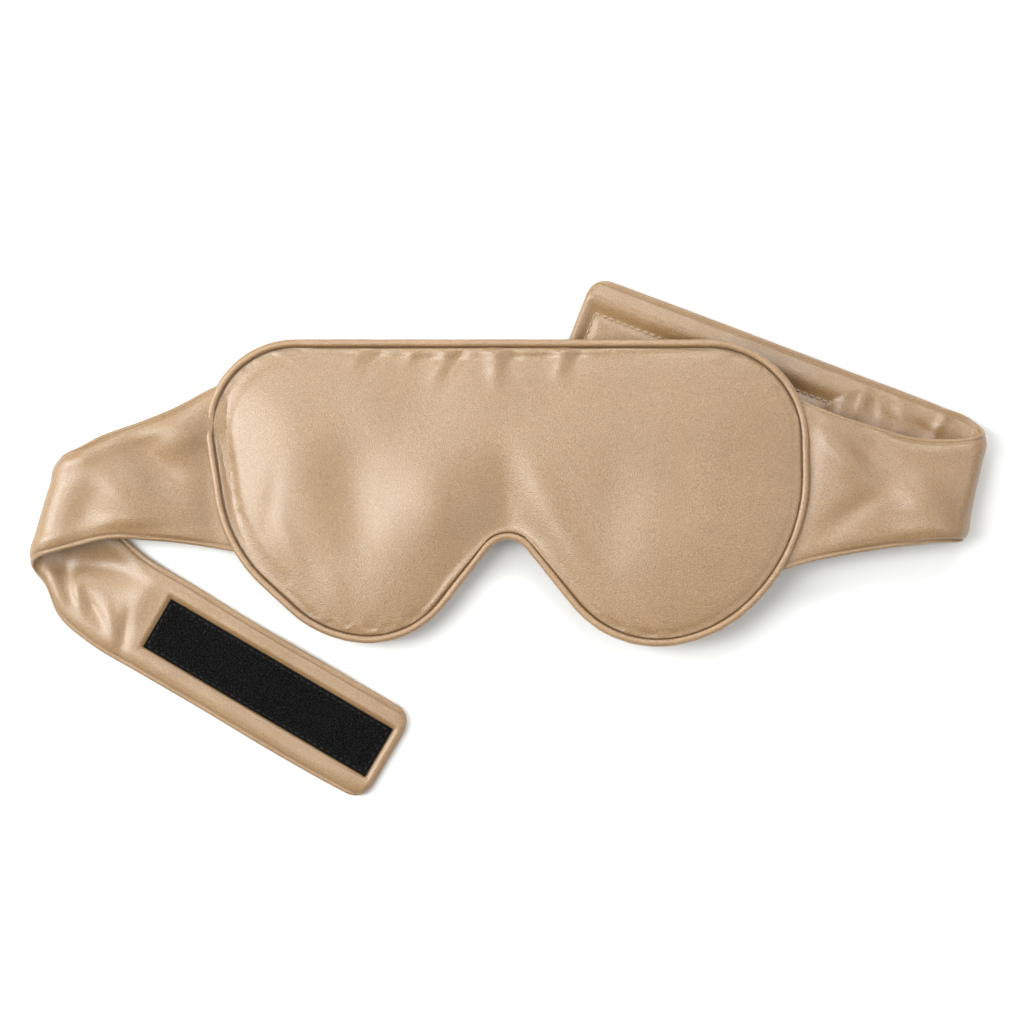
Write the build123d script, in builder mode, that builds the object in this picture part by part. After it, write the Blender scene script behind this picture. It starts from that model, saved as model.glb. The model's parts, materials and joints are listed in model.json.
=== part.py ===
from build123d import *
import os
from math import atan, cos, degrees, radians, sin

# A padded silk eye mask (eye pillow) with a wrap-around strap on each side and a hook-and-loop
# closure, lying face up on a table with both straps folded under.
# Millimetres. +X is the wearer's left, +Y the forehead side and +Z the front, away from the face.
# The origin is below the middle of the whole object, on the table.
# Each strap is one sewn piece. It is cut here into a wing, which is sewn to the mask, a fold and a
# tail, because the wing turns at the seam and the tail turns at the fold.

os.makedirs("parts", exist_ok=True)

# Cloth and clearances
silk = 0.4  # one silk panel
ease = 0.05  # room between layers of one body
apart = 0.4  # room between the mask and a wing

# Mask: corners of the outer outline, piping included, and the radius that rounds each one.
# The two halves differ a little, because the straps pull the mask out of true.
mask_corners = [
    (-115.0, 72.0),
    (-103.4, -4.0),
    (-70.7, -34.0),
    (-36.8, -41.5),
    (-0.5, 4.8),
    (38.3, -43.6),
    (77.6, -33.9),
    (108.3, -3.7),
    (107.0, 71.5),
]
mask_radii = [32.6, 55.6, 42.9, 35.2, 8.3, 39.8, 50.5, 65.0, 36.3]
mask_half = 7.1  # half of the mask's thickness
mask_round = 6.0  # rounding of the front and back panels' edges
mask_height = 10.8  # middle of the mask above the table, over the origin
mask_lean = 2.1  # degrees; the right side lies on the right strap's tail
seam_allowance = 6.0
lining_half = 0.25
wadding_start = 1.0  # gap between the mask's middle plane and each wadding layer

# Piping round the edge
piping_r = 1.4
piping_bore = 1.0
cord_r = 0.95
thread = 0.3

# Straps
strap_half = 2.0  # half of a strap's thickness
strap_round = 1.7
fold_r = 7.0  # outer radius of each strap's fold, which is also its axis's height
fold_gap = 0.2  # from the fold's plane to the ends of the wing and the tail
wing_end_height = fold_r + fold_r - strap_half
corner_r = 7.0  # at a strap's free end

# Hook-and-loop tapes
tape_length = 93.0
tape_width = 20.0
tape_end_margin = 4.0  # from the tape to the strap's free end
backing = 0.7
pile = 0.7
hook_sink = 1.0  # how far each sewn tape sinks into the padding
loop_sink = backing + pile  # the strap lies on this tape, which is pressed in flush
stitch_inset = 1.2
stitch_width = 0.5

lean = radians(mask_lean)
mask_plane = Plane(
    origin=(0, 0, mask_height),
    x_dir=(cos(lean), 0, sin(lean)),
    z_dir=(-sin(lean), 0, cos(lean)),
)


def finish_piece(piece, name):
    """Labels a finished piece and writes its file."""
    piece.label = name
    export_step(piece, f"parts/{name}.step")


def outline(corners, radii, inset=0.0):
    """A closed outline of straight runs and arcs, drawn inset from its corners' own line."""
    with BuildSketch() as plan:
        with BuildLine():
            FilletPolyline(*corners, radius=radii, close=True)
        make_face()
        if inset:
            offset(amount=-inset)
    return plan.sketch


def mask_outline(inset=0.0):
    return outline(mask_corners, mask_radii, inset)


# ---------------------------------------------------------------- mask


def cushion_half(inset, start, top, rounding, side):
    """Half of the mask's padded body, from start to top above its middle plane, or below it."""
    with BuildPart() as half:
        with BuildSketch(mask_plane.offset(side * start)):
            add(mask_outline(inset))
        extrude(amount=side * (top - start))
        rim = half.faces().sort_by(Axis(mask_plane.origin, mask_plane.z_dir * side))[-1]
        fillet(rim.edges(), radius=rounding)
    return half.part


panel_inset = 2 * piping_r + 0.1
core_inset = panel_inset + silk
core_top = mask_half - silk
core_round = mask_round - silk


def make_panel(name, side):
    """A crowned silk panel with its seam allowance turned in."""
    with BuildPart() as panel:
        add(cushion_half(panel_inset, lining_half + ease, mask_half, mask_round, side))
        add(
            cushion_half(core_inset, lining_half + ease + silk, core_top, core_round, side),
            mode=Mode.SUBTRACT,
        )
        with BuildSketch(mask_plane):
            add(mask_outline(panel_inset + seam_allowance))
        extrude(amount=side * (lining_half + 2 * silk), mode=Mode.SUBTRACT)
    finish_piece(panel.part, name)


def make_wadding(name, side):
    """A layer of fibre wadding that fills one panel."""
    layer = cushion_half(
        core_inset + ease, wadding_start, core_top - ease, core_round - ease, side
    )
    finish_piece(layer, name)


make_panel("front_panel", 1)
make_panel("back_panel", -1)
make_wadding("front_wadding", 1)
make_wadding("back_wadding", -1)

# A dense dark felt between the two layers of wadding stops the light.
with BuildPart() as blackout_lining:
    with BuildSketch(mask_plane.offset(-lining_half)):
        add(mask_outline(panel_inset + seam_allowance + ease))
    extrude(amount=2 * lining_half)
finish_piece(blackout_lining.part, "blackout_lining")


def ring_sweep(outer, bore):
    """A round tube along the middle line of the piping, or a solid cord where bore is zero."""
    route = mask_plane * mask_outline(piping_r).face().outer_wire()
    section_plane = Plane(origin=route @ 0, z_dir=route % 0)
    with BuildPart() as tube:
        with BuildSketch(section_plane):
            Circle(outer)
            if bore:
                Circle(bore, mode=Mode.SUBTRACT)
        sweep(path=route)
    return tube.part


# The piping is a bias strip of silk wrapped round a cord, with its flange sewn between the panels.
with BuildPart() as piping:
    add(ring_sweep(piping_r, piping_bore))
    with BuildSketch(mask_plane.offset(-lining_half)):
        add(mask_outline(piping_r + piping_bore + silk / 2))
        add(mask_outline(panel_inset + seam_allowance), mode=Mode.SUBTRACT)
    extrude(amount=2 * lining_half)
finish_piece(piping.part, "piping")
finish_piece(ring_sweep(cord_r, 0), "piping_cord")

with BuildPart() as cover_seam_thread:
    thread_base = lining_half + ease + silk
    with BuildSketch(mask_plane.offset(thread_base)):
        add(mask_outline(core_inset + 2 * thread))
        add(mask_outline(core_inset + 3 * thread), mode=Mode.SUBTRACT)
    extrude(amount=min(thread, wadding_start - ease - thread_base))
finish_piece(cover_seam_thread.part, "cover_seam_thread")


# ---------------------------------------------------------------- straps


def unit(turn):
    """A level unit vector, turned anticlockwise from +X by so many degrees."""
    return Vector(cos(radians(turn)), sin(radians(turn)), 0)


class Strap:
    """The places and plans of one side's strap. Plans are corners and radii seen from above."""

    def __init__(self, side, seam, seam_turn, fold, fold_turn, fold_span, tail_centre, tail_turn):
        self.side = side
        self.seam = Vector(seam)
        self.seam_along = unit(seam_turn)
        self.fold = Vector(fold[0], fold[1], fold_r)
        self.fold_along = unit(fold_turn)
        self.fold_out = unit(fold_turn - 90 if side == "right" else fold_turn + 90)
        self.fold_span = fold_span
        self.tail_centre = Vector(*tail_centre)
        self.tail_along = unit(tail_turn)
        self.tail_turn = tail_turn

    def fold_plane(self, shift):
        """The upright plane through the fold's axis, moved towards the mask, facing the mask."""
        return Plane(origin=self.fold - self.fold_out * shift, z_dir=self.fold_out * -1)

    def wing_planes(self):
        """A level plane at the seam, and the same plane turned about the seam up to the fold."""
        level = Plane(origin=self.seam, x_dir=self.seam_along, z_dir=(0, 0, 1))
        end = level.to_local_coords(Vector(self.fold.X, self.fold.Y, wing_end_height))
        slope = degrees(atan(end.Z / end.Y))
        normal = Vector(0, 0, 1).rotate(Axis(self.seam, self.seam_along), slope)
        return level, Plane(origin=self.seam, x_dir=self.seam_along, z_dir=normal)

    def wing_blank(self, corners, radii, inset):
        """The wing's padded body, rounded at its sides and beside the mask, cut at the fold."""
        level, sloped = self.wing_planes()
        local = [level.to_local_coords(Vector(x, y, self.seam.Z)) for x, y in corners]
        flat = [(p.X, p.Y) for p in local]
        with BuildPart() as blank:
            with BuildSketch(sloped):
                add(outline(flat, radii, inset))
            extrude(amount=strap_half - inset, both=True)
            with BuildSketch(mask_plane):
                add(mask_outline(-apart - inset))
            extrude(amount=4 * mask_half, both=True, mode=Mode.SUBTRACT)
            rims = blank.faces().filter_by(Axis(self.seam, sloped.z_dir))
            fillet(rims.edges(), radius=strap_round - inset)
            split(bisect_by=self.fold_plane(fold_gap), keep=Keep.TOP)
        return blank.part

    def tail_blank(self, corners, radii, inset):
        """The tail's padded body with rounded sides, cut off at the fold."""
        with BuildPart() as blank:
            with BuildSketch(Plane.XY.offset(strap_half)):
                add(outline(corners, radii, inset))
            extrude(amount=strap_half - inset, both=True)
            rims = blank.faces().filter_by(Axis.Z)
            fillet(rims.edges(), radius=strap_round - inset)
            split(bisect_by=self.fold_plane(fold_gap), keep=Keep.TOP)
        return blank.part

    def tape_plane(self, height):
        """A level plane at the tape's middle, with its X axis towards the strap's free end."""
        centre = self.tail_centre
        return Plane(
            origin=(centre.X, centre.Y, height), x_dir=self.tail_along, z_dir=(0, 0, 1)
        )


def make_layers(segment, whole, core, middle, upper="inner", lower="outer", pocket=None):
    """Writes a padded segment's two silk panels and its wadding. A tape's pocket dents them."""
    for layer, keep in ((upper, Keep.TOP), (lower, Keep.BOTTOM)):
        with BuildPart() as panel:
            add(whole)
            add(core, mode=Mode.SUBTRACT)
            split(bisect_by=middle, keep=keep)
            if pocket and pocket.panel == layer:
                add(pocket.dent, mode=Mode.SUBTRACT)
                add(pocket.lining)
        finish_piece(panel.part, f"{segment}_{layer}_silk")
    with BuildPart() as wadding:
        add(core)
        if pocket:
            add(pocket.lined_dent, mode=Mode.SUBTRACT)
    finish_piece(wadding.part, f"{segment}_wadding")


def make_wing(strap, corners, radii):
    """The outgoing part of the strap, from the mask's side seam to the fold."""
    whole = strap.wing_blank(corners, radii, 0.0)
    core = strap.wing_blank(corners, radii, silk)
    middle = strap.wing_planes()[1]
    make_layers(f"{strap.side}_wing", whole, core, middle, upper="outer", lower="inner")


def make_fold(strap):
    """The half turn between wing and tail, as three nested half tubes."""
    low, high = strap.fold_span
    start = strap.fold + strap.fold_along * low
    section = Plane(origin=start, x_dir=strap.fold_out, z_dir=strap.fold_along)
    fold_bore = fold_r - 2 * strap_half
    rings = {
        "outer_silk": (fold_r, fold_r - silk),
        "wadding": (fold_r - silk - ease, fold_bore + silk + ease),
        "inner_silk": (fold_bore + silk, fold_bore),
    }
    for layer, (outer, bore) in rings.items():
        with BuildPart() as half_tube:
            with BuildSketch(section):
                Circle(outer)
                Circle(bore, mode=Mode.SUBTRACT)
                with Locations((fold_r, 0)):
                    Rectangle(2 * fold_r, 4 * fold_r, mode=Mode.INTERSECT)
            extrude(amount=high - low)
        finish_piece(half_tube.part, f"{strap.side}_fold_{layer}")


def tape_block(strap, length, width, low, high):
    """A flat block on the tape's middle, from one height to another."""
    with BuildPart() as block:
        with BuildSketch(strap.tape_plane(low)):
            Rectangle(length, width)
        extrude(amount=high - low)
    return block.part


class TapePocket:
    """The dent that a sewn tape presses into a tail, and the panel that lines it."""

    def __init__(self, strap, core, on_top):
        room = 2 * ease
        length = tape_length + room
        width = tape_width + room
        if on_top:
            low, high = 2 * strap_half - hook_sink, 3 * strap_half
            lined_low, lined_high = low - silk, high
        else:
            low, high = -strap_half, loop_sink
            lined_low, lined_high = low, high + silk
        self.panel = "inner" if on_top else "outer"
        self.dent = tape_block(strap, length, width, low, high)
        self.lined_dent = tape_block(
            strap, length + 2 * silk, width + 2 * silk, lined_low, lined_high
        )
        with BuildPart() as lining:
            add(self.lined_dent)
            add(self.dent, mode=Mode.SUBTRACT)
            add(core, mode=Mode.INTERSECT)
        self.lining = lining.part


def tail_corners(strap, half_width, shift, near_fold):
    """A tail's plan: two rounded corners at the free end, then the corners near its fold."""
    across = strap.tail_along.rotate(Axis.Z, 90)
    to_tip = strap.tail_along * (tape_end_margin + tape_length / 2)
    tip = strap.tail_centre + across * shift + to_tip
    ends = [tip - across * half_width, tip + across * half_width]
    return [(end.X, end.Y) for end in ends] + near_fold


def make_tail(strap, corners, radii, tape_on_top):
    """The returning part of the strap, with a pocket where the tape is sewn down."""
    whole = strap.tail_blank(corners, radii, 0.0)
    core = strap.tail_blank(corners, radii, silk)
    pocket = TapePocket(strap, core, tape_on_top)
    middle = Plane.XY.offset(strap_half)
    make_layers(f"{strap.side}_tail", whole, core, middle, pocket=pocket)


def make_tape(strap, name, base, side, facing):
    """A sewn tape: its backing, the hooks or loops on it, and the thread round its edge."""
    levels = sorted([base, base + side * backing])
    tip = base + side * (backing + pile)
    facing_levels = sorted([base + side * backing, tip])
    stitch_levels = sorted([base + side * backing, base + side * (backing + thread)])
    inner_length = tape_length - 2 * stitch_inset
    inner_width = tape_width - 2 * stitch_inset
    band = 2 * stitch_width
    finish_piece(tape_block(strap, tape_length, tape_width, *levels), name)
    field = tape_block(strap, inner_length - band, inner_width - band, *facing_levels)
    finish_piece(field, facing)
    with BuildPart() as stitching:
        add(tape_block(strap, inner_length, inner_width, *stitch_levels))
        hole_length, hole_width = inner_length - stitch_width, inner_width - stitch_width
        add(tape_block(strap, hole_length, hole_width, *stitch_levels), mode=Mode.SUBTRACT)
    finish_piece(stitching.part, f"{name}_stitching")


# Left strap, at -X: it folds under and comes out below the mask, hook tape upwards.
left = Strap(
    side="left",
    seam=(-112.2, 38.7, 6.8),
    seam_turn=97.5,
    fold=(-160.6, 8.7),
    fold_turn=76.0,
    fold_span=(-20.5, 20.0),
    tail_centre=(-87.2, -53.9),
    tail_turn=-30.4,
)
left_wing_corners = [
    (-172.0, 28.0),
    (-158.0, 31.5),
    (-131.8, 42.5),
    (-92.0, 62.0),
    (-84.0, -7.0),
    (-139.0, 0.6),
    (-158.0, -2.0),
    (-176.0, -10.0),
]
left_wing_radii = [0.0, 20.0, 60.0, 0.0, 0.0, 60.0, 30.0, 0.0]
make_wing(left, left_wing_corners, left_wing_radii)
make_fold(left)


left_tail_half_width = 18.3
left_tail_near_fold = [
    (-136.0, -4.6),
    (-143.0, 24.0),
    (-175.0, 32.0),
    (-184.0, -4.0),
    (-163.5, -28.0),
    (-150.0, -39.3),
]
left_tail_corners = tail_corners(left, left_tail_half_width, 0.0, left_tail_near_fold)
left_tail_radii = [corner_r, corner_r, 25.0, 14.0, 0.0, 0.0, 20.0, 20.0]
make_tail(left, left_tail_corners, left_tail_radii, tape_on_top=True)

# Right strap, at +X: it folds under and passes below the mask, loop tape downwards.
right = Strap(
    side="right",
    seam=(110.5, 26.5, 14.7),
    seam_turn=86.2,
    fold=(161.9, 20.95),
    fold_turn=77.2,
    fold_span=(-21.0, 21.5),
    tail_centre=(70.2, 57.4),
    tail_turn=159.1,
)
right_wing_corners = [
    (178.0, -1.5),
    (180.0, 41.0),
    (156.0, 35.0),
    (137.0, 38.4),
    (90.0, 54.3),
    (84.0, -14.8),
    (124.0, -5.2),
    (150.0, -1.7),
]
right_wing_radii = [0.0, 0.0, 40.0, 40.0, 0.0, 0.0, 60.0, 60.0]
make_wing(right, right_wing_corners, right_wing_radii)
make_fold(right)
right_tail_near_fold = [
    (140.0, 12.9),
    (157.0, -1.5),
    (180.0, -1.5),
    (184.0, 38.0),
    (166.0, 43.6),
]
right_tail_shift = 2.2  # the tape is sewn a little off the strap's middle
right_tail_half_width = 19.0
right_tail_corners = tail_corners(
    right, right_tail_half_width, -right_tail_shift, right_tail_near_fold
)
right_tail_radii = [corner_r, corner_r, 25.0, 8.0, 0.0, 0.0, 8.0]
make_tail(right, right_tail_corners, right_tail_radii, tape_on_top=False)

# ---------------------------------------------------------------- closure

make_tape(left, "hook_tape", 2 * strap_half - hook_sink, 1, "hook_field")
make_tape(right, "loop_tape", loop_sink, -1, "loop_pile")
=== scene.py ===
"""A padded satin eye mask with two wrap-around straps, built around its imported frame."""

import json
import math

import bpy
import numpy as np
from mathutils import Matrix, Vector, geometry, noise


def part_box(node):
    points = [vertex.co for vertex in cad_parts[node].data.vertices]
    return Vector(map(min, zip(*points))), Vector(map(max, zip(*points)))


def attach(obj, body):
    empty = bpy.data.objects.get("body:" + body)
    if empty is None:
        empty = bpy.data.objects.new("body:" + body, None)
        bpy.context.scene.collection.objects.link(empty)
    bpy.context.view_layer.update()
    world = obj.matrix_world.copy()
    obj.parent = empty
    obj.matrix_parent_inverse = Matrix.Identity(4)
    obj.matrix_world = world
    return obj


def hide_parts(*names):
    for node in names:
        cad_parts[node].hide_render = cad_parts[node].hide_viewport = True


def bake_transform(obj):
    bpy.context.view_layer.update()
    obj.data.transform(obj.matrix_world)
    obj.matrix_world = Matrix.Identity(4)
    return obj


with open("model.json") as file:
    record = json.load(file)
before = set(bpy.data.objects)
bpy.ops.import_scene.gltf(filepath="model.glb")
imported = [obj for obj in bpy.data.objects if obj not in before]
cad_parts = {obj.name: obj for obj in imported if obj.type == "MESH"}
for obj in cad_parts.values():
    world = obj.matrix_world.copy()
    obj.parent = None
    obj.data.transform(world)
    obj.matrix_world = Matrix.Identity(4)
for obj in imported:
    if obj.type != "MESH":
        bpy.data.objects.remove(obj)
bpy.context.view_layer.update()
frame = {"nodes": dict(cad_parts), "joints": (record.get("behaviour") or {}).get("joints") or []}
joints = {joint["name"]: joint for joint in frame["joints"]}

MM = 0.001  # lengths below are in millimetres, and Blender's are in metres
UP = np.array([0.0, 0.0, 1.0])

# ---------------------------------------------------------------- mask sizes

# Corners of the outer outline, piping included, and the radius that rounds each, as in the CAD.
mask_corners = [
    (-115.0, 72.0),
    (-103.4, -4.0),
    (-70.7, -34.0),
    (-36.8, -41.5),
    (-0.5, 4.8),
    (38.3, -43.6),
    (77.6, -33.9),
    (108.3, -3.7),
    (107.0, 71.5),
]
mask_radii = [32.6, 55.6, 42.9, 35.2, 8.3, 39.8, 50.5, 65.0, 36.3]
mask_height = 10.8
mask_lean = math.radians(2.1)
piping_radius = 1.4
tube_step = 0.8  # spacing of points along the piping and the seam's thread
# A thread in the crease between piping and panel; its dark brown is painted shade of that crease.
painted_shade_thread_inset = 2.85  # from the mask's outline
painted_shade_thread_radius = 0.23
painted_shade_thread_height = 0.95  # over or under the mask's middle plane
cushion_inset = 2.0  # from the mask's outline to the seam that the cushion is sewn at
cushion_rise = 6.9  # from the seam's plane to the crown
cushion_slope = 34.0  # how far in the crown levels out
back_shallower = 0.2  # how much less the back rises than the front
cell = 1.9  # spacing of the cushion's cloth points
rim_rings = (0.75, 1.0, 1.9, 3.2)  # how far in from the seam the closer rings of cloth points lie
table_gap = 0.12  # kept between the cloth and the table
tail_top = 4.35  # what the mask's back rests on where it lies over the right strap's tail
blow_pressure = 3.0
blow_steps = 18
blow_limit = 2.4  # how far the pressure may move any point

mask_across = np.array([math.cos(mask_lean), 0.0, math.sin(mask_lean)])
mask_up = np.array([-math.sin(mask_lean), 0.0, math.cos(mask_lean)])
mask_along = np.array([0.0, 1.0, 0.0])
mask_origin = np.array([0.0, 0.0, mask_height])

# ---------------------------------------------------------------- strap sizes

fold_radius = 7.0
strap_half = 2.0
strap_middle = fold_radius - strap_half  # radius of the strap's middle round the fold
seam_inset = 1.5  # from a strap's edge to the line where its two panels are sewn
edge_groove = 0.85  # depth of the crease along that line
edge_groove_width = 0.36
fold_steps = 8  # stations round each fold
ring_step = 0.62  # spacing of a strap's rings of points
across_count = 56  # steps across each of a strap's two skins
end_round = 7.0  # radius of a strap's free corners
end_thin = 2.6  # over which the strap thins out at its free end
tape_length = 93.0
tape_width = 20.0
tape_turns = {"left": math.radians(-30.4), "right": math.radians(159.1)}
tape_edge = 1.6  # from a tape's edge to where its dent in the padding ends
hook_bed = 2.9  # level that the left skin is pressed down to under the hook tape
loop_bed = 1.45  # level that the right skin is pressed up to over the loop tape
stitch_inset = 1.2
stitch_pitch = 2.6
stitch_length = 1.9
stitch_radius = 0.24
loop_stitch_level = 3.1  # of the loop tape's stitches, on the right strap's upper skin

# ---------------------------------------------------------------- helpers


def make_object(name, points, faces, material, smooth=True):
    """A mesh object from points in millimetres."""
    mesh = bpy.data.meshes.new(name)
    mesh.from_pydata((np.asarray(points) * MM).tolist(), [], faces)
    mesh.validate()
    mesh.update()
    mesh.polygons.foreach_set("use_smooth", [smooth] * len(mesh.polygons))
    mesh.materials.append(material)
    piece = bpy.data.objects.new(name, mesh)
    bpy.context.scene.collection.objects.link(piece)
    return piece


def bell(distance, width):
    """1 at no distance, and close to 0 from twice the width on."""
    return np.exp(-((distance / width) ** 2))


def along_and_across(points, centre, turn):
    """How far each point is from the centre in plan, along this direction and across it."""
    dx, dy = points[:, 0] - centre[0], points[:, 1] - centre[1]
    return dx * math.cos(turn) + dy * math.sin(turn), dy * math.cos(turn) - dx * math.sin(turn)


def swell(points, x, y, turn, length, width, height):
    """Height at each point of an oval swell, or of a dent where height is below zero."""
    along, across = along_and_across(points, (x, y), math.radians(turn))
    return height * bell(along, length) * bell(across, width)


def ripple(points, scale, height, seed):
    """Smooth unevenness: height times noise with features of this scale, in millimetres."""
    shift = Vector((17.3 * seed, -9.1 * seed, 5.7 * seed))
    values = [noise.noise(Vector(p) / scale + shift) for p in points]
    return height * np.array(values)


def rounded_outline(corners, radii, spacing):
    """Points along a polygon whose corners are rounded by arcs."""
    corners = np.array(corners)
    count = len(corners)
    points = []
    for i, (corner, radius) in enumerate(zip(corners, radii)):
        before = corners[i - 1] - corner
        after = corners[(i + 1) % count] - corner
        before = before / np.linalg.norm(before)
        after = after / np.linalg.norm(after)
        half = math.acos(np.clip(before @ after, -1, 1)) / 2
        bisector = (before + after) / np.linalg.norm(before + after)
        middle = corner + bisector * radius / math.sin(half)
        start = corner + before * radius / math.tan(half) - middle
        end = corner + after * radius / math.tan(half) - middle
        turn = math.atan2(start[0] * end[1] - start[1] * end[0], start @ end)
        steps = max(2, round(abs(turn) * radius / spacing))
        angle = math.atan2(start[1], start[0])
        for k in range(steps + 1):
            a = angle + turn * k / steps
            points.append(middle + radius * np.array([math.cos(a), math.sin(a)]))
    return resample_loop(np.array(points), spacing)


def resample_loop(points, spacing):
    """The closed loop through these points, at an even spacing."""
    closed = np.vstack([points, points[:1]])
    steps = np.linalg.norm(np.diff(closed, axis=0), axis=1)
    travel = np.concatenate([[0], np.cumsum(steps)])
    count = round(travel[-1] / spacing)
    wanted = np.linspace(0, travel[-1], count, endpoint=False)
    return np.stack([np.interp(wanted, travel, closed[:, k]) for k in range(2)], axis=1)


def inwards(loop):
    """The direction into the loop at each of its points. The loop runs anticlockwise."""
    tangent = np.roll(loop, -1, axis=0) - np.roll(loop, 1, axis=0)
    tangent /= np.linalg.norm(tangent, axis=1)[:, None]
    return np.stack([-tangent[:, 1], tangent[:, 0]], axis=1)


def inset_loop(loop, amount):
    return loop + inwards(loop) * amount


def distance_to_loop(points, loop):
    """Shortest distance from each point to the closed loop."""
    best = np.full(len(points), 1e9)
    for a, b in zip(loop, np.roll(loop, -1, axis=0)):
        step = b - a
        share = np.clip(((points - a) @ step) / (step @ step), 0, 1)
        best = np.minimum(best, np.linalg.norm(points - a - share[:, None] * step, axis=1))
    return best


def inside_loop(points, loop):
    """True for each point inside the closed loop, by counting crossings."""
    inside = np.zeros(len(points), bool)
    for (ax, ay), (bx, by) in zip(loop, np.roll(loop, -1, axis=0)):
        if ay == by:
            continue
        crosses = (ay > points[:, 1]) != (by > points[:, 1])
        at = (bx - ax) * (points[:, 1] - ay) / (by - ay) + ax
        inside ^= crosses & (points[:, 0] < at)
    return inside


def rod_faces(base, rings, sides):
    """Faces of a closed rod whose rings of points start at this index."""
    faces = []
    for ring in range(base, base + (rings - 1) * sides, sides):
        for k in range(sides):
            a, b = ring + k, ring + (k + 1) % sides
            faces.append((a, b, b + sides, a + sides))
    last = base + (rings - 1) * sides
    faces.append(tuple(range(base + sides - 1, base - 1, -1)))
    faces.append(tuple(range(last, last + sides)))
    return faces


def on_mask(plan, height):
    """Places plan points at a height above the mask's leaning middle plane."""
    return (
        mask_origin
        + plan[:, :1] * mask_across
        + plan[:, 1:2] * mask_along
        + np.asarray(height)[:, None] * mask_up
    )


# ---------------------------------------------------------------- materials


class Finish:
    """A Principled material and the few nodes that the finishes below share."""

    def __init__(self, name):
        self.material = bpy.data.materials.new(name)
        self.material.use_nodes = True
        self.tree = self.material.node_tree
        self.shader = self.tree.nodes["Principled BSDF"]
        self.place = self.tree.nodes.new("ShaderNodeTexCoord").outputs["Object"]

    def node(self, kind, **values):
        made = self.tree.nodes.new(kind)
        for key, value in values.items():
            if key in made.inputs:
                made.inputs[key].default_value = value
            else:
                setattr(made, key, value)
        return made

    def link(self, source, target):
        self.tree.links.new(source, target)

    def noise(self, scale, detail=2.0, stretch=None):
        """Noise whose features are this many millimetres across."""
        made = self.node("ShaderNodeTexNoise", Scale=1 / (scale * MM), Detail=detail)
        place = self.place
        if stretch:
            mapping = self.node("ShaderNodeMapping", Scale=stretch[0], Rotation=stretch[1])
            self.link(place, mapping.inputs["Vector"])
            place = mapping.outputs["Vector"]
        self.link(place, made.inputs["Vector"])
        return made.outputs["Fac"]

    def ramp(self, source, stops):
        """Colours over a source's value, given as stops of position and colour."""
        made = self.tree.nodes.new("ShaderNodeValToRGB")
        ramp = made.color_ramp
        while len(ramp.elements) < len(stops):
            ramp.elements.new(0.5)
        for element, (position, colour) in zip(ramp.elements, stops):
            element.position = position
            element.color = (*colour, 1.0)
        self.link(source, made.inputs["Fac"])
        return made.outputs["Color"]

    def multiply(self, first, second):
        made = self.node("ShaderNodeMix", data_type="RGBA", blend_type="MULTIPLY")
        made.inputs["Factor"].default_value = 1.0
        # The mix node has its colour sockets after those for numbers and vectors.
        self.link(first, made.inputs[6])
        self.link(second, made.inputs[7])
        return made.outputs[2]

    def set_shader(self, **values):
        """Sets the shader's own sockets, named with underscores for spaces."""
        for key, value in values.items():
            self.shader.inputs[key.replace("_", " ")].default_value = value

    def bump(self, layers):
        """Chained bumps, each a height source with its strength and depth in millimetres."""
        normal = None
        for source, strength, depth in layers:
            made = self.node("ShaderNodeBump", Strength=strength, Distance=depth * MM)
            self.link(source, made.inputs["Height"])
            if normal:
                self.link(normal, made.inputs["Normal"])
            normal = made.outputs["Normal"]
        self.link(normal, self.shader.inputs["Normal"])


def satin(name, light, dark, roughness):
    """Champagne silk satin: glossy broken by fine threads, with a slow change of tone."""
    finish = Finish(name)
    slow = finish.noise(26.0, 3.0)
    tone = finish.ramp(slow, [(0.32, dark), (0.68, light)])
    grain = finish.noise(0.42, 1.0)
    grain_tone = finish.ramp(grain, [(0.34, (0.62, 0.59, 0.54)), (0.66, (1.0, 1.0, 1.0))])
    colour = finish.multiply(tone, grain_tone)
    finish.link(colour, finish.shader.inputs["Base Color"])
    threads = finish.noise(0.3, 2.0, ((1.0, 6.0, 1.0), (0.0, 0.0, 0.5)))
    finish.bump([(threads, 0.4, 0.06), (grain, 0.6, 0.2)])
    limits = {"To Min": roughness - 0.05, "To Max": roughness + 0.07}
    uneven = finish.node("ShaderNodeMapRange", **limits)
    finish.link(grain, uneven.inputs["Value"])
    finish.link(uneven.outputs["Result"], finish.shader.inputs["Roughness"])
    finish.set_shader(IOR=1.62, Specular_IOR_Level=1.0)
    finish.set_shader(Sheen_Weight=0.08, Sheen_Roughness=0.4, Sheen_Tint=(1.0, 0.93, 0.84, 1.0))
    return finish.material


def nylon(name, colour, roughness, gloss, fuzz):
    """Black nylon of the closure tapes, with a fibrous surface."""
    finish = Finish(name)
    fibres = finish.noise(0.45, 3.0)
    spread = finish.noise(6.0, 2.0)
    low = tuple(c * 0.3 for c in colour)
    high = tuple(min(1.0, c * 12.0) for c in colour)
    tone = finish.ramp(fibres, [(0.45, low), (0.7, high)])
    patch = finish.ramp(spread, [(0.3, (0.8, 0.8, 0.8)), (0.7, (1.0, 1.0, 1.0))])
    finish.link(finish.multiply(tone, patch), finish.shader.inputs["Base Color"])
    finish.bump([(fibres, 0.8, fuzz)])
    finish.set_shader(Roughness=roughness, Specular_IOR_Level=gloss)
    return finish.material


def twisted_thread(name, colour):
    """Sewing thread: a slanting twist along short stitches."""
    finish = Finish(name)
    twist = finish.noise(0.18, 1.0, ((1.0, 3.0, 1.0), (0.0, 0.0, 0.8)))
    low = tuple(c * 0.62 for c in colour)
    tone = finish.ramp(twist, [(0.35, low), (0.65, colour)])
    finish.link(tone, finish.shader.inputs["Base Color"])
    finish.bump([(twist, 0.6, 0.08)])
    finish.set_shader(Roughness=0.45)
    return finish.material


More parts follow.
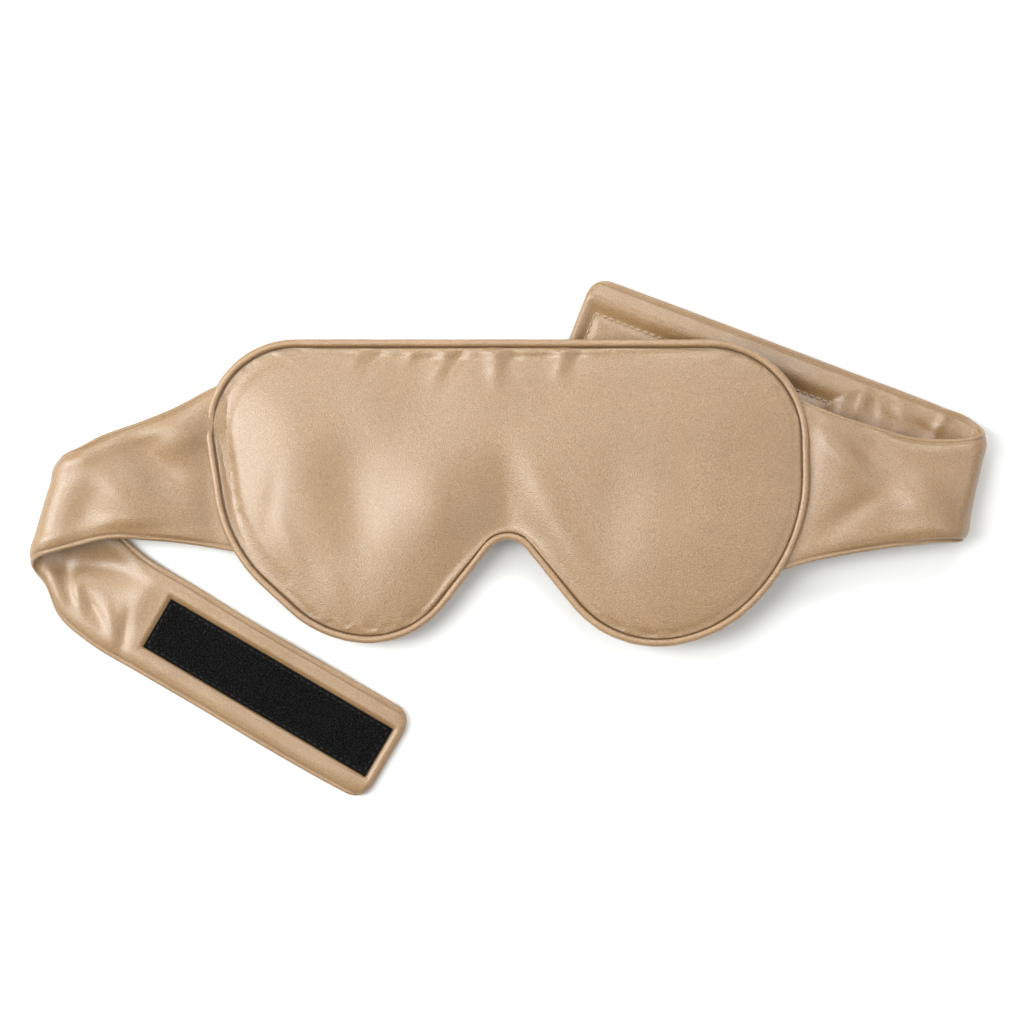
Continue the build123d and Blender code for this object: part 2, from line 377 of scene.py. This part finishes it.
silk = satin("silk", (0.40, 0.232, 0.10), (0.365, 0.207, 0.086), 0.375)
piping_silk = satin("piping_silk", (0.45, 0.257, 0.112), (0.38, 0.213, 0.088), 0.40)
thread = twisted_thread("thread", (0.66, 0.50, 0.34))
# Dark brown seam thread: painted shade that darkens the crease between piping and panel.
painted_shade_thread = twisted_thread("painted_shade_thread", (0.12, 0.058, 0.022))
black_thread = twisted_thread("black_thread", (0.004, 0.004, 0.004))
tape_weave = nylon("tape_weave", (0.0015, 0.0015, 0.0015), 0.8, 0.08, 0.2)
hook_nylon = nylon("hook_nylon", (0.0006, 0.0006, 0.0005), 0.28, 0.3, 0.1)
loop_pile = nylon("loop_pile", (0.006, 0.006, 0.006), 0.85, 0.1, 0.5)

# ---------------------------------------------------------------- mask cushion

outline = rounded_outline(mask_corners, mask_radii, cell)
rim = resample_loop(inset_loop(outline, cushion_inset), cell)


def cushion_plan():
    """The cloth's points in plan, and triangles: the rim, rings beside it, then an even grid."""
    low, high = rim.min(axis=0), rim.max(axis=0)
    row_step = cell * math.sqrt(3) / 2
    rows = []
    for k, y in enumerate(np.arange(low[1], high[1], row_step)):
        x = np.arange(low[0] + (k % 2) * cell / 2, high[0], cell)
        rows.append(np.stack([x, np.full(len(x), y)], axis=1))
    grid = np.vstack(rows)
    grid = grid[inside_loop(grid, rim)]
    rings = [inset_loop(rim, depth) for depth in rim_rings]
    grid = grid[distance_to_loop(grid, rim) > rim_rings[-1] + 0.6 * cell]
    plan = np.vstack([rim, *rings, grid])
    edges = [(i, (i + 1) % len(rim)) for i in range(len(rim))]
    result = geometry.delaunay_2d_cdt([Vector(p) for p in plan], edges, [], 1, 1e-6)
    return plan, result[2]


def cushion_profile(depth):
    """Height of a crowned cushion this far in from its seam, as a share of its full height.

    It rises steeply out of the seam, then at an even slope, and levels out at the crown."""
    share = np.clip(depth / cushion_slope, 0, 1)
    steep = np.interp(depth, [0.0, *rim_rings, 6.0], [0.0, 0.05, 0.55, 0.86, 0.98, 1.0])
    even = 1 - (1 - share) ** 1.8
    return 0.37 * steep + 0.63 * even


# Swells and dents of the front: place, direction in degrees, length, width and height.
front_swells = [
    (-56.0, 12.0, 96.0, 24.0, 11.0, -2.2),  # valley that crosses the left lobe
    (-34.0, 50.0, 50.0, 20.0, 11.0, -0.8),  # its shallow upper end, towards the top edge
    (-84.0, 20.0, 88.0, 36.0, 14.0, 0.8),  # full left side of the left lobe
    (-25.0, 9.0, 97.0, 17.0, 12.0, 1.9),  # swelling between it and the middle
    (-1.0, 12.0, 92.0, 18.0, 7.5, -2.1),  # valley above the nose
    (19.0, 1.0, 118.0, 26.0, 7.0, 1.8),  # roll on the right of the nose
    (37.0, 16.0, 95.0, 20.0, 9.0, -0.55),
    (-86.0, 13.0, 84.0, 12.0, 3.0, -0.45),  # faint drags in the full left side
    (-79.0, -4.0, 112.0, 14.0, 3.5, 0.5),
    (-62.0, -22.0, 118.0, 12.0, 3.5, 0.4),
    (55.0, 14.0, 92.0, 20.0, 9.0, 0.3),
]
# Puckers that leave the top seam: place, direction, length, width and height.
top_puckers = [
    (-54.5, 67.0, 60.0, 5.0, 1.8, 0.9),
    (-48.0, 65.5, 58.0, 6.5, 1.8, -0.8),
    (-35.0, 67.0, 55.0, 5.0, 1.8, 0.8),
    (-24.0, 64.0, 62.0, 7.5, 2.2, 1.0),
    (-18.5, 65.0, 64.0, 7.0, 2.0, -0.9),
    (-5.0, 64.5, 93.0, 7.0, 2.8, 1.5),
    (1.5, 66.0, 100.0, 6.0, 2.4, -0.9),
    (19.0, 65.5, 78.0, 6.0, 2.6, 1.5),
    (25.0, 66.5, 85.0, 6.0, 2.2, -0.9),
]
# Small tucks beside the seam at the left strap: how far up, and how deep.
left_tucks = [(41.0, 0.4), (34.5, 0.3), (28.0, 0.4), (21.5, 0.25), (14.0, 0.3), (6.5, 0.25)]


def cushion_relief(plan):
    """The front's swells, puckers and tucks, as heights over the crowned shape."""
    depth = distance_to_loop(plan, rim)
    relief = np.zeros(len(plan))
    for place in front_swells + top_puckers:
        relief += swell(plan, *place)
    # A gutter runs beside the seam at the left strap, with small tucks across it.
    left_end = bell(plan[:, 1] - 26.0, 30.0) * (plan[:, 0] < -80.0)
    relief -= np.interp(depth, [1.0, 1.9, 3.9, 7.0], [0.0, 1.2, 2.5, 0.0]) * left_end
    for y, deep in left_tucks:
        relief -= swell(plan, x=-104.0, y=y, turn=4.0, length=3.6, width=1.2, height=deep)
    return relief * np.clip(depth / 2.0, 0, 1)


def inflate(piece, held, pressure, steps, most):
    """Blows the piece up as cloth held at its seam, and returns its points.

    No point moves further than most, in millimetres."""
    start = np.array([v.co for v in piece.data.vertices])
    group = piece.vertex_groups.new(name="seam")
    group.add(held, 1.0, "REPLACE")
    cloth = piece.modifiers.new("cloth", "CLOTH")
    settings = cloth.settings
    settings.quality = 6
    settings.mass = 0.2
    settings.vertex_group_mass = "seam"
    settings.use_pressure = True
    settings.uniform_pressure_force = pressure
    settings.shrink_min = 0.02
    settings.tension_stiffness = 30
    settings.compression_stiffness = 30
    settings.bending_stiffness = 4.0
    settings.effector_weights.gravity = 0.0
    cloth.collision_settings.use_collision = False
    cloth.point_cache.frame_end = steps
    scene = bpy.context.scene
    for step in range(1, steps + 1):
        scene.frame_set(step)
    shaped = piece.evaluated_get(bpy.context.evaluated_depsgraph_get()).data
    moved = np.array([v.co for v in shaped.vertices]) - start
    scene.frame_set(1)
    piece.modifiers.clear()
    piece.vertex_groups.clear()
    travel = np.linalg.norm(moved, axis=1)
    moved *= np.minimum(1, most * MM / np.maximum(travel, 1e-9))[:, None]
    return start + moved


def make_cushion():
    """The two sewn panels with their wadding, as one closed padded form."""
    plan, triangles = cushion_plan()
    edge_count, count = len(rim), len(plan)
    depth = distance_to_loop(plan, rim)
    profile = cushion_profile(depth)
    # After the front's points come the back's, which share the rim with them.
    back_index = list(range(edge_count)) + list(range(count, 2 * count - edge_count))
    front = on_mask(plan, cushion_rise * profile)
    back = on_mask(plan, -(cushion_rise - back_shallower) * profile)[edge_count:]
    faces = [list(t) for t in triangles]
    faces += [[back_index[i] for i in reversed(t)] for t in triangles]
    piece = make_object("mask_cushion", np.vstack([front, back]), faces, silk)
    # The rim and the first ring of points on both faces are held.
    held = list(range(2 * edge_count)) + list(range(count, count + edge_count))
    inflated = inflate(piece, held, blow_pressure, blow_steps, blow_limit)
    piece.data.vertices.foreach_set("co", inflated.ravel())
    points = np.array([v.co for v in piece.data.vertices]) / MM
    inner = np.clip(depth / 6.0, 0, 1)
    front_uneven = ripple(points[:count], scale=20.0, height=0.2, seed=1) * inner
    back_uneven = ripple(points[count:], scale=18.0, height=0.6, seed=2) * inner[edge_count:]
    relief = np.concatenate([cushion_relief(plan) + front_uneven, back_uneven])
    points += relief[:, None] * mask_up
    floor = np.where(over_right_tail(points), tail_top, table_gap)
    points[count:, 2] = np.maximum(points[count:, 2], floor[count:])
    piece.data.vertices.foreach_set("co", (points * MM).ravel())
    piece.data.update()
    finer = piece.modifiers.new("finer", "SUBSURF")
    finer.levels = finer.render_levels = 1
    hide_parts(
        "front_panel", "back_panel", "front_wadding", "back_wadding", "blackout_lining"
    )
    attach(piece, "mask")


def over_right_tail(points):
    """True for points that lie over the right strap's tail."""
    tape_middle, end, middle_line, half_width = (70.2, 57.4), 54.0, -2.0, 21.5
    along, across = along_and_across(points, tape_middle, tape_turns["right"])
    return (along < end) & (np.abs(across - middle_line) < half_width)


def edge_tube(inset, radius, height, sides, unevenness):
    """A tube that runs round the mask at a height over its middle plane: points and faces."""
    middle = resample_loop(inset_loop(outline, inset), tube_step)
    outward = -inwards(middle)
    count = len(middle)
    points = np.zeros((count, sides, 3))
    level = on_mask(middle, np.zeros(count))
    wander = ripple(level, scale=22.0, height=0.25, seed=5) + height
    for k in range(sides):
        a = 2 * math.pi * k / sides
        thick = radius + ripple(level + k, scale=3.5, height=unevenness, seed=6)
        plan = middle + outward * (thick * math.cos(a))[:, None]
        points[:, k] = on_mask(plan, thick * math.sin(a) + wander)
    faces = []
    for i in range(count):
        j = (i + 1) % count
        for k in range(sides):
            m = (k + 1) % sides
            faces.append((i * sides + k, j * sides + k, j * sides + m, i * sides + m))
    return points.reshape(-1, 3), faces


def make_piping():
    """A bias strip of silk round a cord, sewn in all round the mask."""
    points, faces = edge_tube(
        inset=piping_radius, radius=piping_radius, height=0.0, sides=14, unevenness=0.11
    )
    piece = make_object("mask_piping", points, faces, piping_silk)
    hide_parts("piping", "piping_cord")
    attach(piece, "mask")


def make_painted_shade_thread():
    """The thread that closes the cover, in the crease between piping and panel on both faces. Its
    dark brown is painted shade of that crease.
    """
    points, faces = [], []
    for height in (painted_shade_thread_height, -painted_shade_thread_height):
        loop, loop_faces = edge_tube(
            painted_shade_thread_inset, painted_shade_thread_radius, height, sides=6, unevenness=0.03
        )
        faces += [tuple(k + len(points) for k in face) for face in loop_faces]
        points += loop.tolist()
    piece = make_object("mask_painted_shade_thread", points, faces, painted_shade_thread)
    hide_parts("cover_seam_thread")
    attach(piece, "mask")


# ---------------------------------------------------------------- straps


class StrapPlan:
    """The stations of one strap. A station is where its two edges are: upper, then lower."""

    def __init__(self, side, wing, wing_heights, upper_fold, lower_fold, tip, tail):
        self.side = side
        self.wing = wing  # both edges in plan, from the mask outwards
        self.wing_heights = wing_heights  # height and half thickness at each of those
        self.upper_fold = upper_fold  # places along the fold's axis, from its top to its bottom
        self.lower_fold = lower_fold
        self.tip = tip  # how much further out the fold is drawn along its lower edge
        self.tail = tail  # both edges in plan, from the fold to the free end
        fold = joints[f"{side}_fold"]
        self.axis_point = np.array(fold["pos_m"]) / MM
        axis = np.array(fold["axis"])
        self.axis = axis if axis[1] > 0 else -axis
        outward = 1 if side == "right" else -1
        self.out = outward * np.array([self.axis[1], -self.axis[0], 0.0])
        self.flip = -1 if side == "right" else 1

    def stations(self):
        """Both edges' places in space from the mask to the free end, with the half thickness."""
        rows = []
        for (ux, uy, lx, ly), (height, half) in zip(self.wing, self.wing_heights):
            rows.append([ux, uy, height, lx, ly, height, half])
        for k in range(fold_steps + 1):
            share = k / fold_steps
            turn = math.radians(90 - 180 * share)
            swing = self.out * strap_middle * math.cos(turn) + UP * strap_middle * math.sin(turn)
            row = []
            for first, last in (self.upper_fold, self.lower_fold):
                place = self.axis_point + self.axis * (first + (last - first) * share) + swing
                if first < 0:  # the lower edge
                    place = place + self.out * self.tip * math.sin(math.pi / 2 * share)
                row += list(place)
            rows.append(row + [strap_half])
        for ux, uy, lx, ly in self.tail:
            rows.append([ux, uy, strap_half, lx, ly, strap_half, strap_half])
        return np.array(rows)


left_plan = StrapPlan(
    "left",
    wing=[
        (-102.5, 56.5, -94.5, -5.5),
        (-109.4, 53.4, -104.0, -3.8),
        (-118.8, 48.2, -114.0, -2.2),
        (-131.8, 42.6, -129.2, -0.6),
        (-146.5, 37.2, -145.0, -0.2),
    ],
    wing_heights=[(5.9, 0.8), (6.2, 1.0), (7.5, 1.8), (9.4, 2.0), (11.2, 2.0)],
    upper_fold=(25.0, 13.0),
    lower_fold=(-14.0, -25.0),
    tip=2.6,
    tail=[
        (-146.5, 8.5, -163.0, -28.0),
        (-133.5, -4.6, -152.0, -37.8),
        (-114.8, -16.2, -133.3, -49.0),
        (-93.2, -29.6, -111.7, -61.6),
        (-71.6, -42.2, -90.1, -74.6),
        (-51.0, -54.0, -69.6, -86.4),
        (-34.3, -63.7, -52.9, -95.3),
    ],
)
right_plan = StrapPlan(
    "right",
    wing=[
        (99.5, 52.5, 93.5, -12.5),
        (110.5, 47.5, 107.4, -8.4),
        (121.3, 43.4, 122.0, -5.5),
        (131.0, 40.5, 137.2, -3.2),
        (146.5, 36.4, 147.5, -2.2),
    ],
    wing_heights=[(13.6, 0.8), (13.8, 1.0), (13.9, 1.8), (13.3, 2.0), (12.5, 2.0)],
    upper_fold=(16.0, 23.0),
    lower_fold=(-23.0, -19.0),
    tip=0.0,
    tail=[
        (157.0, 47.6, 147.0, 9.8),
        (144.4, 52.6, 130.8, 17.1),
        (122.8, 60.7, 109.2, 25.4),
        (101.2, 68.9, 87.6, 33.5),
        (79.6, 77.1, 66.0, 41.7),
        (58.0, 85.2, 44.4, 49.9),
        (30.6, 95.4, 17.0, 60.0),
    ],
)


def through(stations, spacing):
    """A smooth run through the stations: rows at about this spacing, and each station's place."""
    middle = (stations[:, 0:3] + stations[:, 3:6]) / 2
    knots = np.concatenate([[0], np.cumsum(np.linalg.norm(np.diff(middle, axis=0), axis=1))])
    slopes = np.gradient(stations, knots, axis=0)
    wanted = np.linspace(0, knots[-1], round(knots[-1] / spacing) + 1)
    index = np.clip(np.searchsorted(knots, wanted, side="right") - 1, 0, len(knots) - 2)
    width = knots[index + 1] - knots[index]
    t = ((wanted - knots[index]) / width)[:, None]
    width = width[:, None]
    rows = (
        (2 * t**3 - 3 * t**2 + 1) * stations[index]
        + (t**3 - 2 * t**2 + t) * width * slopes[index]
        + (-2 * t**3 + 3 * t**2) * stations[index + 1]
        + (t**3 - t**2) * width * slopes[index + 1]
    )
    return rows, wanted, knots


def tape_place(side):
    """The middle of a strap's tape, in plan, and its direction."""
    low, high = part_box("hook_tape" if side == "left" else "loop_tape")
    middle = (np.array(low) + np.array(high)) / 2 / MM
    return middle[:2], tape_turns[side]


def outside_tape(points, side, inset=0.0):
    """How far out each point is from a rectangle this far in from the tape's edge."""
    along, across = along_and_across(points, *tape_place(side))
    return np.maximum(
        np.abs(along) - tape_length / 2 + inset, np.abs(across) - tape_width / 2 + inset
    )


def tape_share(points, side):
    """1 over the tape and 0 beside it, with a soft edge."""
    share = np.clip(1 - outside_tape(points, side) / tape_edge, 0, 1)
    return share * share * (3 - 2 * share)


# Swells and dents that show from above: place, direction, length, width and height.
wing_swells = {
    "left": [
        (-138.0, 15.0, -38.0, 21.0, 8.5, 2.8),  # ridge from the fold's top to the lower edge
        (-127.0, 27.0, -38.0, 15.0, 6.5, -2.3),  # hollow above it
        (-153.0, 8.0, 75.0, 14.0, 7.0, -1.3),
        (-113.0, 40.0, 30.0, 12.0, 7.0, 2.6),
        (-108.0, 22.0, 97.0, 28.0, 5.0, -1.1),  # groove beside the seam
        (-128.0, 4.0, 2.0, 20.0, 2.6, -0.8),
    ],
    "right": [
        (118.0, 31.0, -47.0, 17.0, 5.5, 2.2),  # fold that runs down from the upper seam
        (129.0, 34.0, -35.0, 14.0, 6.0, -1.5),
        (121.0, 8.0, 35.0, 10.0, 4.0, -1.6),  # hollow near the lower edge
        (149.5, 10.5, -62.0, 18.0, 9.0, 4.6),
        (106.0, 18.0, 84.0, 26.0, 4.0, -0.9),  # groove beside the seam
    ],
}
tail_swells = {
    "left": [
        (-164.5, -15.0, 288.0, 8.0, 3.0, 0.5),
        (-160.0, -14.0, 280.0, 9.0, 3.0, -1.4),
        (-156.0, -19.0, 285.0, 6.0, 2.0, 1.0),
        (-151.0, -24.0, 300.0, 6.0, 2.0, -1.0),
        (-150.0, -9.0, -5.0, 15.0, 6.0, -3.4),  # hollow under the wing's edge
        (-144.0, -30.0, 285.0, 7.0, 2.4, 1.0),
        (-139.0, -33.0, 80.0, 8.0, 2.2, -1.1),
        (-134.0, -22.0, 60.0, 12.0, 5.0, 0.9),
    ],
    "right": [
        (138.5, 41.5, 120.0, 5.0, 2.4, -1.1),
        (142.5, 44.0, 110.0, 5.5, 2.6, 1.0),
        (150.0, 39.0, 150.0, 7.0, 2.2, -1.2),
        (156.0, 41.5, 60.0, 5.0, 2.0, 0.9),
        (127.5, 49.5, 70.0, 5.5, 2.2, 0.8),
        (131.5, 46.5, 100.0, 5.5, 2.2, -1.0),
    ],
}


def strap_points(plan):
    """A grid of points round and along the strap, with what each one is."""
    rows, travel, knots = through(plan.stations(), ring_step)
    share = 0.5 - 0.5 * np.cos(np.linspace(0, math.pi, across_count + 1))
    upper, lower, half = rows[:, None, 0:3], rows[:, None, 3:6], rows[:, 6]
    # The free end is rounded: both edges draw in, and the thickness with them.
    left_to_go = travel[-1] - travel
    corner = np.clip((end_round - left_to_go) / end_round, 0, 1)
    width = np.linalg.norm(rows[:, 3:6] - rows[:, 0:3], axis=1)
    draw_in = end_round * (1 - np.sqrt(1 - corner**2)) / width
    thinning = np.clip((end_thin - left_to_go) / end_thin, 0, 1)
    half = half * np.sqrt(np.clip(1 - thinning**2.5, 0.0, 1))
    across = draw_in[:, None] + share[None, :] * (1 - 2 * draw_in[:, None])
    middle = upper + (lower - upper) * across[..., None]
    along_step = np.gradient(middle, axis=0)
    across_step = np.gradient(middle, axis=1)
    normal = np.cross(along_step, across_step)
    normal[-1] = normal[-2]
    normal *= plan.flip / np.maximum(np.linalg.norm(normal, axis=2), 1e-9)[..., None]
    from_edge = np.minimum(across, 1 - across) * width[:, None]
    # The section is flat with round edges, fullest inside the seam line along each edge.
    crown = (1 - np.abs(2 * share - 1) ** 5) ** 0.5
    puff = 1 + 0.3 * bell(from_edge - 5.0, 3.0)
    groove = edge_groove * bell(from_edge - seam_inset, edge_groove_width)
    thick = half[:, None] * crown[None, :] * puff - groove * (half[:, None] / strap_half)
    fold_start, fold_end = knots[len(plan.wing)], knots[len(plan.wing) + fold_steps]
    part = np.where(travel < (fold_start + fold_end) / 2, 0, 1)
    return middle, normal, np.maximum(thick, 0), part, travel, (fold_start, fold_end)


def shape_strap(plan):
    """The strap's outer and inner skins as grids of points, with creases and the tape's dent."""
    middle, normal, thick, part, travel, fold = strap_points(plan)
    rows, cols = thick.shape
    # The skin that each strap's tape is sewn to, the level it is pressed to, and which way.
    tape_beds = {"left": (-1, hook_bed, np.minimum), "right": (1, loop_bed, np.maximum)}
    taped, bed, press_to = tape_beds[plan.side]
    skins = []
    for sign in (1, -1):
        skin = (middle + sign * normal * thick[..., None]).reshape(-1, 3)
        flat_normal = (sign * normal).reshape(-1, 3)
        which = np.repeat(part, cols)
        fade = np.minimum(1, thick.reshape(-1) / 1.2)  # no creases at the thin edges
        seed = 11 if plan.side == "left" else 12
        lift = ripple(skin, scale=14.0, height=0.3, seed=seed + sign)
        lift += ripple(skin, scale=5.0, height=0.05, seed=seed + 2 * sign)
        facing_up = flat_normal[:, 2] > 0.2
        for here, swells in ((0, wing_swells), (1, tail_swells)):
            chosen = facing_up & (which == here)
            for place in swells[plan.side]:
                lift[chosen] += swell(skin[chosen], *place)
        skin += flat_normal * (lift * fade)[:, None]
        on_tail = which == 1
        if sign == taped:
            press = tape_share(skin, plan.side) * on_tail
            skin[:, 2] = press_to(skin[:, 2], skin[:, 2] * (1 - press) + bed * press)
        elif plan.side == "right":
            skin[:, 2] -= stitch_groove(skin) * on_tail
        skin[:, 2] = np.maximum(skin[:, 2], table_gap)
        skins.append(skin.reshape(rows, cols, 3))
    return skins, travel, fold


def stitch_groove(points):
    """Depth of the line that the loop tape's stitching pulls into the right strap.

    The skin is lower over the tape than beside it, and rolls up outside the line."""
    out = outside_tape(points, "right", stitch_inset)
    line = 1.1 * bell(out, 1.7)
    over_tape = 0.5 / (1 + np.exp(out / 0.6))
    roll = 1.0 * bell(out - 5.0, 2.4)
    return line + over_tape - roll


def strap_mesh(skins):
    """Rings of points round the strap from its two skins, which share both edges."""
    outer, inner = skins
    edge = (outer[:, [0, -1]] + inner[:, [0, -1]]) / 2
    outer[:, 0], outer[:, -1] = edge[:, 0], edge[:, 1]
    return np.concatenate([outer, inner[:, -2:0:-1]], axis=1)


def ring_faces(first, last, around, flip):
    """Side faces between rings first and last, and a cap at each end."""
    faces = []
    for i in range(last - first):
        for k in range(around):
            m = (k + 1) % around
            face = (i * around + k, i * around + m, (i + 1) * around + m, (i + 1) * around + k)
            faces.append(face if flip < 0 else face[::-1])
    for i, order in ((0, 1), (last - first, -1)):
        half = around // 2
        for k in range(half):
            a, b = i * around + k, i * around + k + 1
            c, d = i * around + (around - k - 1) % around, i * around + (around - k) % around
            cap = [a, b, c, d] if k else [a, b, c]
            cap = cap if k < half - 1 else [a, b, d]
            faces.append(tuple(cap[:: order * flip]))
    return faces


def make_strap(plan):
    """Each strap is two pieces of one skin: the wing from the mask's seam, and the fold with the
    tail, cut just past where the fold starts.
    """
    side = plan.side
    skins, travel, fold = shape_strap(plan)
    rings = strap_mesh(skins)
    count, around = rings.shape[:2]
    cut = int(np.searchsorted(travel, fold[0] + 1.0))
    # Both pieces take their shading from the uncut skin, so that the cut doesn't show.
    faces = ring_faces(0, count - 1, around, plan.flip)
    whole = make_object("whole", rings.reshape(-1, 3), faces, silk)
    normals = np.array([v.normal for v in whole.data.vertices]).reshape(count, around, 3)
    bpy.data.objects.remove(whole)
    made = []
    for half, first, last in (("wing", 0, cut), ("tail", cut, count - 1)):
        points = rings[first : last + 1].reshape(-1, 3)
        faces = ring_faces(first, last, around, plan.flip)
        piece = make_object(f"{side}_{half}_cover", points, faces, silk)
        piece.data.normals_split_custom_set_from_vertices(
            normals[first : last + 1].reshape(-1, 3).tolist()
        )
        made.append(piece)
    wing, tail = made
    layers = ("outer_silk", "inner_silk", "wadding")
    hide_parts(*[f"{side}_wing_{layer}" for layer in layers])
    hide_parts(*[f"{side}_{part}_{layer}" for part in ("fold", "tail") for layer in layers])
    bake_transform(wing)
    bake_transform(tail)


# ---------------------------------------------------------------- closure


def on_tape(side, points, level):
    """Points given along, across and above a tape, placed over this level."""
    centre, turn = tape_place(side)
    along, across, up = np.array(points).T
    x = centre[0] + along * math.cos(turn) - across * math.sin(turn)
    y = centre[1] + along * math.sin(turn) + across * math.cos(turn)
    return np.stack([x, y, level + up], axis=1)


def make_hooks():
    """Rows of small nylon hooks that lean over, each a bent tube."""
    rng = np.random.default_rng(4)
    pitch, bare_edge, scatter, thick = 0.95, 2.6, 0.12, 0.13
    rows = int((tape_length - bare_edge) / pitch)
    columns = int((tape_width - bare_edge) / pitch)
    # How far out and up each bend of a hook is.
    bends = np.array([(0.0, 0.0), (0.02, 0.32), (0.16, 0.56), (0.42, 0.62), (0.58, 0.44)])
    corners = [(-thick, -thick), (thick, -thick), (thick, thick), (-thick, thick)]
    points, faces = [], []
    for i in range(rows):
        for k in range(columns):
            u = (i - (rows - 1) / 2) * pitch + rng.normal(0, scatter)
            v = (k - (columns - 1) / 2) * pitch + rng.normal(0, scatter)
            lean = rng.uniform(0, 2 * math.pi)
            size = rng.uniform(0.85, 1.1)
            faces += rod_faces(len(points), len(bends), len(corners))
            for out, up in bends * size:
                along, across = u + out * math.cos(lean), v + out * math.sin(lean)
                points += [(along + du, across + dv, up) for du, dv in corners]
    sink = 0.02  # into the backing
    field_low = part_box("hook_field")[0][2] / MM
    piece = make_object("hook_pile", on_tape("left", points, field_low - sink), faces, hook_nylon)
    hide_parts("hook_field")
    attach(piece, "left_tail")


# A stitch along its length: place, thickness and rise, as shares of its half length and radius.
stitch_rings = [
    (-1.0, 0.15, -0.5),
    (-0.8, 0.8, 0.1),
    (0.0, 1.0, 0.5),
    (0.8, 0.8, 0.1),
    (1.0, 0.15, -0.5),
]


def make_stitches(name, side, level, replaced, material):
    """Lock stitches round a tape, each a short rounded bar that dips at both ends."""
    length, width = tape_length - 2 * stitch_inset, tape_width - 2 * stitch_inset
    bars = []
    for run, apart, upright in ((length, width, False), (width, length, True)):
        count = int(run / stitch_pitch)
        for line in (-apart / 2, apart / 2):
            for k in range(count):
                place = (k - (count - 1) / 2) * run / count
                bars.append((line, place, True) if upright else (place, line, False))
    sides = 6
    points, faces = [], []
    for u, v, upright in bars:
        faces += rod_faces(len(points), len(stitch_rings), sides)
        for along, size, rise in stitch_rings:
            for q in range(sides):
                a = 2 * math.pi * q / sides
                du, dv = along * stitch_length / 2, stitch_radius * size * math.cos(a)
                du, dv = (dv, du) if upright else (du, dv)
                points.append((u + du, v + dv, stitch_radius * (size * math.sin(a) + rise)))
    piece = make_object(name, on_tape(side, points, level), faces, material)
    if replaced:
        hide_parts(replaced)
    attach(piece, f"{side}_tail")


def finish_cad_piece(node, material):
    """Gives its finish to a CAD node that shows."""
    for slot in frame["nodes"][node].material_slots:
        slot.material = material


# ---------------------------------------------------------------- stage


def make_stage():
    """A pale table under a plain studio ceiling."""
    finish = Finish("table")
    mottle = finish.noise(60.0, 3.0)
    tone = finish.ramp(mottle, [(0.3, (0.90, 0.90, 0.90)), (0.7, (0.92, 0.92, 0.92))])
    finish.link(tone, finish.shader.inputs["Base Color"])
    finish.set_shader(Roughness=0.9)
    reach = 3000.0
    level = -0.1  # a hair under the tape that rests on it
    corners = [(-reach, -reach), (reach, -reach), (reach, reach), (-reach, reach)]
    corners = [(x, y, level) for x, y in corners]
    table = make_object("table", corners, [(0, 1, 2, 3)], finish.material, smooth=False)
    world = bpy.data.worlds.new("studio")
    world.use_nodes = True
    nodes, links = world.node_tree.nodes, world.node_tree.links
    background = nodes["Background"]
    background.inputs["Color"].default_value = (1.0, 0.99, 0.97, 1.0)
    direction = nodes.new("ShaderNodeTexCoord").outputs["Generated"]
    height = nodes.new("ShaderNodeSeparateXYZ")
    links.new(direction, height.inputs["Vector"])
    # Dim at the horizon and bright overhead.
    glow = nodes.new("ShaderNodeMapRange")
    glow_range = {"From Min": 0.05, "From Max": 0.75, "To Min": 0.12, "To Max": 0.46}
    for socket, value in glow_range.items():
        glow.inputs[socket].default_value = value
    links.new(height.outputs["Z"], glow.inputs["Value"])
    links.new(glow.outputs["Result"], background.inputs["Strength"])
    bpy.context.scene.world = world


def make_light(name, place, size, power, colour):
    """A soft rectangular light that faces the middle of the table. Place and size are in metres."""
    data = bpy.data.lights.new(name, "AREA")
    data.shape = "RECTANGLE"
    data.size, data.size_y = size
    data.energy = power
    data.color = colour
    light = bpy.data.objects.new(name, data)
    light.location = place
    light.rotation_euler = (-Vector(place)).to_track_quat("-Z", "Y").to_euler()
    bpy.context.scene.collection.objects.link(light)


def make_camera():
    """Looks straight down at the object. Lengths here are in metres."""
    above, seen = 1.2, 0.3686  # height over the object's middle, and the width seen there
    middle = Vector((0.0011, 0.0097, 0.009))
    data = bpy.data.cameras.new("camera")
    data.sensor_width = 36.0
    data.lens = data.sensor_width * above / seen
    camera = bpy.data.objects.new("camera", data)
    camera.location = middle + Vector((0.0, 0.0, above))
    bpy.context.scene.collection.objects.link(camera)
    bpy.context.scene.camera = camera


# ---------------------------------------------------------------- make everything

make_camera()
make_stage()
make_light("key", (-0.86, 0.1, 0.88), size=(0.55, 1.3), power=18.0, colour=(0.97, 1.0, 0.98))
make_light("back", (0.1, 1.0, 0.85), size=(1.0, 0.4), power=8.0, colour=(0.98, 1.0, 0.98))
make_light("fill", (1.0, -0.1, 1.2), size=(1.2, 1.4), power=6.0, colour=(0.98, 1.0, 0.98))

make_cushion()
make_piping()
make_painted_shade_thread()
make_strap(left_plan)
make_strap(right_plan)
make_hooks()
tape_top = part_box("hook_tape")[1][2] / MM
make_stitches("hook_tape_stitches", "left", tape_top, "hook_tape_stitching", black_thread)
make_stitches("loop_tape_stitches", "right", loop_stitch_level, None, thread)
finish_cad_piece("hook_tape", tape_weave)
finish_cad_piece("loop_tape", tape_weave)
finish_cad_piece("loop_pile", loop_pile)
finish_cad_piece("loop_tape_stitching", black_thread)

bpy.context.scene.view_settings.view_transform = "Standard"
bpy.context.view_layer.update()
